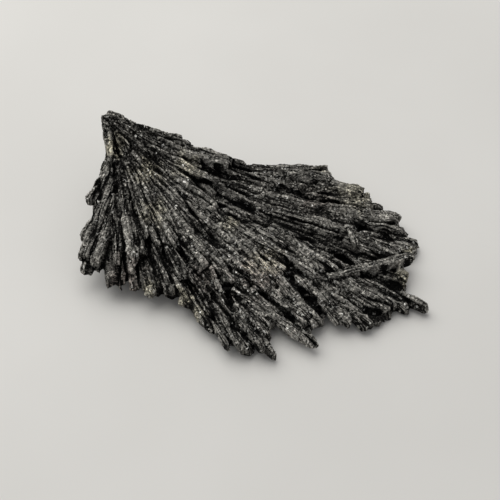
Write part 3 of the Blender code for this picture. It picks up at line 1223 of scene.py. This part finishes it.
@dataclass(frozen=True)
class KyaniteFinish:
    """Black kyanite: charcoal blades with salt-and-pepper grains, striations and small cleavages; its colour
    also carries painted shade in crevices, grooves and sunk places and painted highlight on ridges.

    The rates are per metre. The brightness of a place is a power: how many times more light it returns than
    the darkest grain is the reach to that power.

    Args:
        darkest: How much light the darkest grains return.
        reach: How many times more the palest return.
        level: Brightness of an even place.
        brightest: Most brightness that a grain has, and how far that varies.
        speckle: How much the fine speckle changes the brightness.
        grains: How much each grain's own shade does.
        striation: How much the striations do.
        mottle: How much the broad clouds do.
        shade: How much a crystal's own shade does.
        relief_shading_weight: How much the crust's relief does, as painted shade in grooves, gaps and seams
            and painted highlight on ridges and lumps.
        sunk_shade: How much a place's depth under the roof does, as painted shade that darkens sunk places.
        hairlines: How much a hairline does.
        middle: Value of a noise or a shade that leaves the brightness as it is.
        relief_shading_middle: The same for the crust's relief.
        fine_rate: How close the speckle stands.
        grain_rate: How close the grains stand.
        mottle_rate: How close the broad clouds stand.
        fine_noise: Detail and roughness of the speckle.
        mottle_noise: Detail and roughness of the broad clouds.
        striae_rates: How close the striations stand, along and across.
        striae_noise: Detail and roughness of the striations.
        hair_rates: How close the hairlines stand, along and across.
        hair_noise: Detail and roughness of the hairlines.
        hair_width: How broad a hairline is, as a part of the noise that it follows.
        painted_shade_width: Width of the crevices that are darkened with painted shade, in metres.
        painted_shade_samples: Samples that find them.
        painted_shade_open: How open a place is where the painted shade is full, and where it ends.
        painted_shade_floor: Light that the painted shade leaves in the darkest crevices.
        rust_grains: Speckle at which rust starts to show, and shows in full.
        cream_grains: The same for the cream of the matrix.
        glint_share: Shade past which a grain is a cleavage, and how much easier the sparkling parts make it.
        glint_open: How open a place is where cleavages start to show, and show in full.
        glint_tilt: How far a cleavage is turned.
        bump_height: Height of the grain, in metres.
        bumps: How much the striations, the speckle, the grains and the hairlines stand out in it.
        roughness: Least roughness, and how much of it the speckle adds.
        glint_polish: How much smoother a cleavage is.
        specular: Strength of the surface's own gloss.
        ior: Its index of refraction.
        tint: Colour of the grains.
        cream: Colour where pale matrix clings to them, beside the grains' own.
        rust: Colour of the iron stains, beside the grains' own.
        mirror: Colour of the small cleavages.
    """

    darkest: float = 0.0022
    reach: float = 165.0
    level: float = 0.98
    brightest: Pair = (0.77, 0.42)
    speckle: float = 2.8
    grains: float = 0.8
    striation: float = 1.4
    mottle: float = 0.5
    shade: float = 0.36
    relief_shading_weight: float = 1.25
    sunk_shade: float = -0.35
    hairlines: float = -1.3
    middle: float = 0.5
    relief_shading_middle: float = 0.6
    fine_rate: float = 2200.0
    grain_rate: float = 1700.0
    mottle_rate: float = 150.0
    fine_noise: Pair = (4.0, 0.8)
    mottle_noise: Pair = (4.0, 0.6)
    striae_rates: Pair = (130.0, 2100.0)
    striae_noise: Pair = (4.0, 0.65)
    hair_rates: Pair = (40.0, 1000.0)
    hair_noise: Pair = (2.0, 0.5)
    hair_width: float = 0.034
    painted_shade_width: float = 0.0032
    painted_shade_samples: int = 8
    painted_shade_open: Pair = (0.2, 0.85)
    painted_shade_floor: float = 0.08
    rust_grains: Pair = (0.4, 0.56)
    cream_grains: Pair = (0.36, 0.54)
    glint_share: Pair = (0.982, 0.05)
    glint_open: Pair = (0.5, 0.75)
    glint_tilt: float = 1.4
    bump_height: float = 0.0004
    bumps: tuple[float, ...] = (0.9, 1.5, 0.25, -0.5)
    roughness: Pair = (0.42, 0.3)
    glint_polish: float = 0.3
    specular: float = 0.08
    ior: float = 1.5
    tint: tuple = (1.04, 1.0, 0.9)
    cream: tuple = (2.0, 1.86, 1.4)
    rust: tuple = (1.2, 0.98, 0.86)
    mirror: tuple = (0.85, 0.84, 0.80, 1.0)

    def streaks(self, sheet: NodeSheet, place: bpy.types.NodeSocket) -> Streaks:
        """Makes the patterns.

        Args:
            sheet: Takes the nodes.
            place: Coordinates on the piece.

        Returns:
            The patterns.
        """
        along = sheet.add("UVMap", uv_map="UVMap").outputs[0]
        striae = sheet.cloud(sheet.stretched(along, (*self.striae_rates, 1.0)), 1.0, *self.striae_noise)
        drawn = sheet.cloud(sheet.stretched(along, (*self.hair_rates, 1.0)), 1.0, *self.hair_noise)
        off_line = sheet.math("ABSOLUTE", sheet.math("SUBTRACT", drawn, self.middle))
        hairs = sheet.math("SUBTRACT", 1.0, sheet.ramp(off_line, 0.0, self.hair_width))
        cells = sheet.add("TexVoronoi", {"Vector": place, "Scale": self.grain_rate}).outputs["Color"]
        grain = list(sheet.add("SeparateColor", {0: cells}).outputs)
        occlusion = sheet.add("AmbientOcclusion", {"Distance": self.painted_shade_width}, samples=self.painted_shade_samples)
        fine = sheet.cloud(place, self.fine_rate, *self.fine_noise)
        return Streaks(fine, striae, hairs, grain, cells, occlusion.outputs["AO"])

    def light(self, sheet: NodeSheet, streaks: Streaks, place: bpy.types.NodeSocket) -> bpy.types.NodeSocket:
        """Works out how much light each place returns, with painted shade in crevices, grooves, gaps, seams
        and sunk places, and painted highlight on ridges and lumps.

        Args:
            sheet: Takes the nodes.
            streaks: The patterns.
            place: Coordinates on the piece.

        Returns:
            The light, as a share.
        """
        mottle = sheet.cloud(place, self.mottle_rate, *self.mottle_noise)
        terms = (
            (streaks.fine, self.speckle, self.middle), (streaks.grain[0], self.grains, self.middle),
            (streaks.striae, self.striation, self.middle), (mottle, self.mottle, self.middle),
            (sheet.attribute("tone"), self.shade, self.middle),
            # Painted shade in grooves, gaps and seams, and painted highlight on ridges and lumps.
            (sheet.attribute("relief_shading"), self.relief_shading_weight, self.relief_shading_middle),
            # Painted shade, darker the deeper a place lies under the roof.
            (sheet.attribute("sunk"), self.sunk_shade, 0.0), (streaks.hairs, self.hairlines, 0.0),
        )
        bright = self.level - sum(weight * middle for _, weight, middle in terms)
        for value, weight, _ in terms:
            bright = sheet.math("MULTIPLY_ADD", value, weight, bright)
        least, varied = self.brightest
        most = sheet.math("MULTIPLY_ADD", streaks.grain[2], varied, least)
        bright = sheet.math("MINIMUM", sheet.math("MAXIMUM", bright, 0.0), most)
        lit = sheet.math("MULTIPLY", sheet.math("POWER", self.reach, bright), self.darkest)
        # Painted shade: ambient occlusion darkens the colour in crevices and hollows.
        clear = sheet.ramp(streaks.openness, *self.painted_shade_open)
        kept = sheet.math("MULTIPLY_ADD", clear, 1.0 - self.painted_shade_floor, self.painted_shade_floor)
        return sheet.math("MULTIPLY", lit, kept)

    def stained(
        self, sheet: NodeSheet, fine: bpy.types.NodeSocket, lit: bpy.types.NodeSocket
    ) -> bpy.types.NodeSocket:
        """Colours the light grey, and rusty or cream where the fan is stained.

        Args:
            sheet: Takes the nodes.
            fine: The speckle, which breaks up the stains.
            lit: How much light each place returns.

        Returns:
            The colour.
        """
        colour = sheet.scaled(self.tint, lit)
        stains = (("rust", self.rust, self.rust_grains), ("pale", self.cream, self.cream_grains))
        for name, tint, grains in stains:
            share = sheet.math("MULTIPLY", sheet.attribute(name), sheet.ramp(fine, *grains))
            colour = sheet.mix(share, colour, sheet.scaled(tint, lit))
        return colour

    def build(self) -> bpy.types.Material:
        """Makes the material.

        Returns:
            The material.
        """
        sheet = NodeSheet("black_kyanite_looks")
        place = sheet.add("TexCoord").outputs["Object"]
        streaks = self.streaks(sheet, place)
        colour = self.stained(sheet, streaks.fine, self.light(sheet, streaks, place))
        rarest, easier = self.glint_share
        sparkle = sheet.math("MULTIPLY", sheet.attribute("sparkle"), easier)
        glint = sheet.math("GREATER_THAN", sheet.math("ADD", streaks.grain[1], sparkle), rarest)
        glint = sheet.math("MULTIPLY", glint, sheet.ramp(streaks.openness, *self.glint_open))
        relief = sheet.math("MULTIPLY", streaks.striae, self.bumps[0])
        for value, weight in zip((streaks.fine, streaks.grain[0], streaks.hairs), self.bumps[1:]):
            relief = sheet.math("MULTIPLY_ADD", value, weight, relief)
        bump = {"Strength": 1.0, "Distance": self.bump_height, "Height": relief}
        tilt = sheet.vector("SUBTRACT", streaks.tilts, (self.middle,) * 3)
        tilt = sheet.scaled(tilt, sheet.math("MULTIPLY", glint, self.glint_tilt))
        facing = sheet.vector("NORMALIZE", sheet.vector("ADD", sheet.add("Bump", bump).outputs[0], tilt))
        least, added = self.roughness
        rough = sheet.math("MULTIPLY_ADD", streaks.fine, added, least)
        rough = sheet.math("SUBTRACT", rough, sheet.math("MULTIPLY", glint, self.glint_polish))
        shader = sheet.add("BsdfPrincipled", {
            "Base Color": sheet.mix(glint, colour, self.mirror), "Roughness": rough, "Metallic": glint,
            "Normal": facing, "Specular IOR Level": self.specular, "IOR": self.ior,
        })
        sheet.add("OutputMaterial", {0: shader.outputs[0]})
        return sheet.material


@dataclass(frozen=True)
class TableFinish:
    """A plain pale table top, matt and very slightly uneven in tone.

    Args:
        light: Its lighter colour.
        dull: Its duller colour.
        cloud_rate: How close its clouds stand, per metre.
        cloud_noise: Their detail and roughness.
        clouds: Noise at which a cloud starts to show, and shows in full.
        roughness: How matt it is.
    """

    light: tuple = (0.735, 0.722, 0.690, 1.0)
    dull: tuple = (0.700, 0.687, 0.655, 1.0)
    cloud_rate: float = 9.0
    cloud_noise: Pair = (3.0, 0.5)
    clouds: Pair = (0.3, 0.7)
    roughness: float = 0.62

    def build(self) -> bpy.types.Material:
        """Makes the material.

        Returns:
            The material.
        """
        sheet = NodeSheet("pale_table")
        place = sheet.add("TexCoord").outputs["Object"]
        cloud = sheet.cloud(place, self.cloud_rate, *self.cloud_noise)
        colour = sheet.mix(sheet.ramp(cloud, *self.clouds), self.light, self.dull)
        shader = sheet.add("BsdfPrincipled", {"Base Color": colour, "Roughness": self.roughness})
        sheet.add("OutputMaterial", {0: shader.outputs[0]})
        return sheet.material


@dataclass(frozen=True)
class Specimen:
    """The whole fan: every tier, grown together with the mass under it.

    Args:
        roof: The surface that the crystals follow.
        seed: Source of all unevenness.
        margin: How far the looks stay inside the solid's box, level with the ground.
        sunk: Depth under the roof at which painted shade starts to darken the fan, and how much deeper a
            place lies where that shade is full.
    """

    roof: Roof = field(default_factory=lambda: Roof(Vector((-48.0, 33.9, 0.0))))
    seed: int = 23
    margin: float = 0.05
    sunk: Pair = (1.0, 5.0)

    def crystals(self, shaper: CrystalShaper) -> list[bpy.types.Object]:
        """Makes everything that grows on the mass.

        Args:
            shaper: Makes each mesh.

        Returns:
            One object for each crystal, grain or knob.
        """
        grown = []
        for turn, part in enumerate((*TIERS, LONE, Splinters(), Crumbs(), MatrixLumps())):
            grown += part.build(shaper, random.Random(100 * self.seed + turn))
        return grown

    def build(self, box: list[Vector]) -> bpy.types.Object:
        """Makes the fan.

        Args:
            box: Lowest and highest corners that it stays inside, in metres.

        Returns:
            The fan, as one closed mesh.
        """
        shaper = CrystalShaper(self.roof)
        crust = Crust()
        mass = GrownMass().build(shaper, random.Random(self.seed + 1))
        rough = bmesh.new()
        union = grown_together(mass, self.crystals(shaper))
        rough.from_mesh(union)
        drop_inner_shells(rough)
        rough.to_mesh(union)
        mesh = crust.skin(union)
        skin = bmesh.new()
        skin.from_mesh(mesh)
        for weights in skin.verts.layers.deform.values():
            skin.verts.layers.deform.remove(weights)
        drop_inner_shells(skin)
        self.lay_grain(skin, rough, shaper.grains)
        rough.free()
        crust.grow(skin, self.roof, shaper.grains, random.Random(self.seed + 2))
        self.keep_inside(skin, box)
        self.colour(skin)
        skin.to_mesh(mesh)
        skin.free()
        return self.dressed(mesh)

    def dressed(self, mesh: bpy.types.Mesh) -> bpy.types.Object:
        """Makes the fan's object of its mesh, with its finish.

        Args:
            mesh: The fan's mesh.

        Returns:
            The fan.
        """
        mesh.name = NAME
        fan = bpy.data.objects.new(NAME, mesh)
        bpy.context.scene.collection.objects.link(fan)
        mesh.shade_smooth()
        mesh.materials.clear()
        mesh.materials.append(KyaniteFinish().build())
        return fan

    def keep_inside(self, skin: bmesh.types.BMesh, box: list[Vector]) -> None:
        """Keeps the skin inside the solid's box.

        Args:
            skin: The skin, in metres.
            box: Lowest and highest corners, in metres.
        """
        slacks = (self.margin * MM, self.margin * MM, 0.0)
        for vert in skin.verts:
            for axis, slack in enumerate(slacks):
                vert.co[axis] = min(max(vert.co[axis], box[0][axis] + slack), box[1][axis] - slack)

    def lay_grain(self, skin: bmesh.types.BMesh, rough: bmesh.types.BMesh, grains: list[Grain]) -> None:
        """Gives each face of the skin the grain of the crystal under it.

        Args:
            skin: The skin.
            rough: The crystals that it covers.
            grains: The grain of each crystal.
        """
        rough.faces.ensure_lookup_table()
        mark = rough.loops.layers.uv["grain"]
        under = BVHTree.FromBMesh(rough)
        uv = skin.loops.layers.uv.new("UVMap")
        tone = skin.verts.layers.float.new("tone")
        number = skin.verts.layers.int.new("grain")
        for face in skin.faces:
            _, _, below, _ = under.find_nearest(face.calc_center_median())
            index = round(rough.faces[below].loops[0][mark].uv.x)
            grain = grains[index]
            for loop in face.loops:
                run, offset = grain.laid(loop.vert.co / MM)
                loop[uv].uv = ((run + grain.shift) * MM, (offset + grain.shift) * MM)
                loop.vert[tone], loop.vert[number] = grain.tone, index

    def colour(self, bm: bmesh.types.BMesh) -> None:
        """Writes how pale, stained and sparkling the fan is at each vertex, and how sunk it is, for painted
        shade.

        Args:
            bm: The skin, in metres.
        """
        shallow, deep = self.sunk
        layers = {name: bm.verts.layers.float.new(name) for name in (*STAINS, "sunk")}
        for vert in bm.verts:
            point = vert.co / MM
            for name, stains in STAINS.items():
                vert[layers[name]] = max(stain.at(point, self.roof) for stain in stains)
            # Painted shade: the deeper a place lies under the roof, the darker the finish makes it.
            vert[layers["sunk"]] = within((self.roof.over(point) - point.z - shallow) / deep)


def grown_together(base: bpy.types.Object, others: list[bpy.types.Object]) -> bpy.types.Mesh:
    """Unites the base and the others, which it uses up.

    Args:
        base: One closed object.
        others: Closed objects.

    Returns:
        Their union's mesh.
    """
    group = bpy.data.collections.new("growth")
    bpy.context.scene.collection.children.link(group)
    bpy.context.scene.collection.objects.link(base)
    for obj in others:
        group.objects.link(obj)
    union = base.modifiers.new("grown together", "BOOLEAN")
    union.operation = "UNION"
    union.operand_type = "COLLECTION"
    union.collection = group
    union.solver = "MANIFOLD"
    graph = bpy.context.evaluated_depsgraph_get()
    mesh = bpy.data.meshes.new_from_object(base.evaluated_get(graph))
    for obj in [base, *others]:
        shape = obj.data
        bpy.data.objects.remove(obj)
        bpy.data.meshes.remove(shape)
    bpy.data.collections.remove(group)
    return mesh


def finished(
    mesh: bpy.types.Mesh, kind: str, share: list[int] | None = None, **settings: object
) -> bpy.types.Mesh:
    """Applies a modifier to a mesh.

    Args:
        mesh: The mesh.
        kind: Type of the modifier.
        share: Numbers of the vertices that it works on, where that isn't all of them.
        **settings: The modifier's own settings.

    Returns:
        The new mesh.
    """
    obj = bpy.data.objects.new(kind.lower(), mesh)
    bpy.context.scene.collection.objects.link(obj)
    modifier = obj.modifiers.new(kind.lower(), kind)
    for key, value in settings.items():
        setattr(modifier, key, value)
    if share is not None:
        obj.vertex_groups.new(name="share").add(share, 1.0, "REPLACE")
        modifier.vertex_group = "share"
    made = bpy.data.meshes.new_from_object(obj.evaluated_get(bpy.context.evaluated_depsgraph_get()))
    bpy.data.objects.remove(obj)
    return made


def drop_inner_shells(bm: bmesh.types.BMesh) -> None:
    """Removes every shell but the largest, so that no sealed gap stays between crystals.

    Args:
        bm: Mesh that loses them.
    """
    unseen, shells = set(bm.verts), []
    while unseen:
        shell, front = set(), [unseen.pop()]
        while front:
            vert = front.pop()
            shell.add(vert)
            near = {e.other_vert(vert) for e in vert.link_edges} & unseen
            unseen -= near
            front.extend(near)
        shells.append(shell)
    shells.sort(key=len)
    bmesh.ops.delete(bm, geom=[v for shell in shells[:-1] for v in shell], context="VERTS")


@dataclass(frozen=True)
class Studio:
    """A pale table, soft light from above and behind, and the camera.

    Args:
        table: Side of the table top, in metres.
        elevation: How far the camera looks down, in degrees.
        eye: The camera's place, in metres.
        lens: Focal length, in millimetres.
        sensor: Width of the sensor, in millimetres.
        nearest: Distance under which nothing is seen, in metres.
        lamp_place: The lamp's place, in metres.
        lamp_side: Its side, in metres.
        lamp_power: Its power, in watts.
        lamp_colour: Its colour.
        room_colour: Colour of the room's light.
        room_light: Strength of the room's light.
    """

    table: float = 4.0
    elevation: float = 48.0
    eye: tuple = (-0.00112, -0.28726, 0.32246)
    lens: float = 93.8
    sensor: float = 36.0
    nearest: float = 0.01
    lamp_place: tuple = (-0.28, 0.34, 0.74)
    lamp_side: float = 1.0
    lamp_power: float = 6.1
    lamp_colour: tuple = (1.0, 0.995, 0.97)
    room_colour: tuple = (0.985, 0.985, 1.0, 1.0)
    room_light: float = 0.42

    def floor(self) -> bpy.types.Object:
        """Makes the table top.

        Returns:
            The table top.
        """
        bm = bmesh.new()
        bmesh.ops.create_grid(bm, x_segments=1, y_segments=1, size=self.table / 2)
        top = object_of("table_top", bm)
        top.data.materials.append(TableFinish().build())
        bpy.context.scene.collection.objects.link(top)
        return top

    def lamp(self) -> None:
        """Adds one soft square lamp that faces the fan."""
        light = bpy.data.lights.new("window", "AREA")
        light.size, light.energy, light.color = self.lamp_side, self.lamp_power, self.lamp_colour
        lamp = bpy.data.objects.new("window", light)
        lamp.location = self.lamp_place
        lamp.rotation_euler = (-Vector(self.lamp_place)).to_track_quat("-Z", "Y").to_euler()
        bpy.context.scene.collection.objects.link(lamp)

    def room(self) -> None:
        """Adds the light of the room, and shows colours as they are."""
        world = bpy.data.worlds.new("room")
        world.use_nodes = True
        background = world.node_tree.nodes["Background"]
        background.inputs["Color"].default_value = self.room_colour
        background.inputs["Strength"].default_value = self.room_light
        bpy.context.scene.world = world
        bpy.context.scene.view_settings.view_transform = "Standard"

    def camera(self) -> None:
        """Adds the camera."""
        camera = bpy.data.objects.new("camera", bpy.data.cameras.new("camera"))
        camera.data.lens = self.lens
        camera.data.sensor_width = self.sensor
        camera.data.clip_start = self.nearest
        camera.location = self.eye
        camera.rotation_euler = (math.radians(90.0 - self.elevation), 0.0, 0.0)
        bpy.context.scene.collection.objects.link(camera)
        bpy.context.scene.camera = camera


def main() -> None:
    """Loads the frame, makes the fan over it, and sets the stage."""
    logging.basicConfig(level=logging.INFO, format="%(message)s")
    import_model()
    solid_box = [list(corner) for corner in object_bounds()]
    fan = Specimen().build([Vector(corner) for corner in solid_box])
    LOG.info("%s: %d faces", fan.name, len(fan.data.polygons))
    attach(fan, "root")
    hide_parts("kyanite_fan")
    studio = Studio()
    studio.floor()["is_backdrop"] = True
    LOG.info("table top: %.0f m across", studio.table)
    studio.lamp()
    studio.room()
    studio.camera()
    bpy.context.view_layer.update()


if __name__ == "__main__":
    main()
